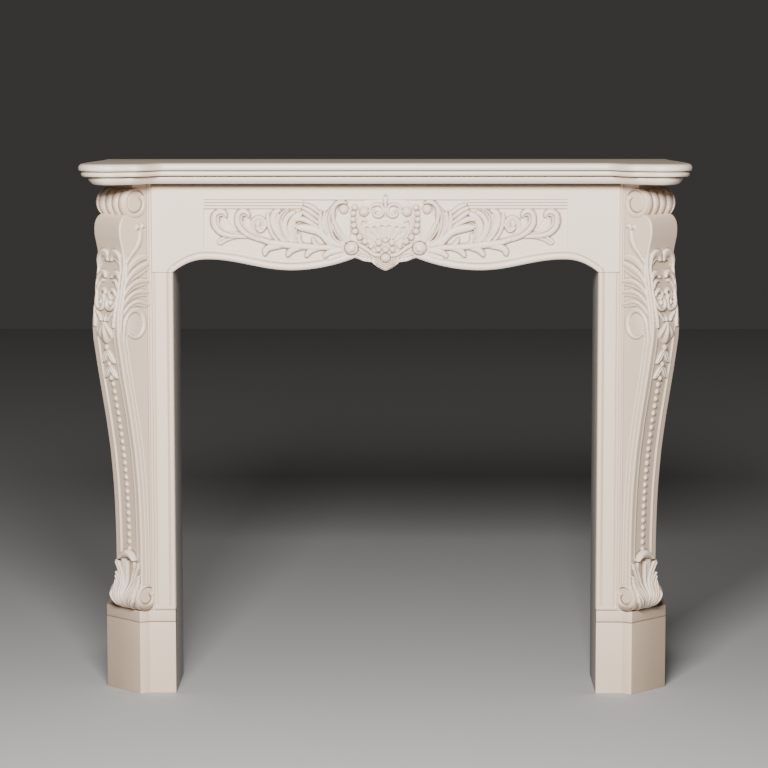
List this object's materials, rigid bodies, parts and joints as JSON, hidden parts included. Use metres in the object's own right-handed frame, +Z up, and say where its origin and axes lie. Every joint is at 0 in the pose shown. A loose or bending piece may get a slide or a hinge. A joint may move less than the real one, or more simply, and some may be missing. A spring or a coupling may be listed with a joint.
{
  "type": "fireplace mantelpiece",
  "caption": "Carved and painted wooden fireplace surround with a breakfront shelf, arched frieze, canted scroll consoles and block plinths.",
  "frame": {"origin": "on the floor, midway across the width and midway through the depth of the shelf", "axes": "+X across the width, +Y back to the wall, +Z up; the carved face looks along -Y"},
  "size_m": [1.21, 0.32, 1.083],
  "materials": {
    "shelf_paint": "satin cream antique paint on the shelf and its bed moulding",
    "frieze_paint": "satin cream antique paint with warm glaze in the carving",
    "leg_paint": "satin cream antique paint with warm glaze in the carving",
    "return_paint": "satin cream paint on plain return boards",
    "plinth_paint": "satin cream antique paint, glazed at the joints"
  },
  "bodies": {
    "root": {"shelf_slab": "shelf_paint", "shelf_bed_moulding": "shelf_paint", "frieze_board": "frieze_paint", "left_pilaster": "leg_paint", "left_corner_stile": "leg_paint", "left_inner_return": "return_paint", "left_outer_return": "return_paint", "left_plinth_cap": "plinth_paint", "left_plinth_block": "plinth_paint", "left_console": "leg_paint", "right_pilaster": "leg_paint", "right_corner_stile": "leg_paint", "right_inner_return": "return_paint", "right_outer_return": "return_paint", "right_plinth_cap": "plinth_paint", "right_plinth_block": "plinth_paint", "right_console": "leg_paint"}
  },
  "joints": []
}
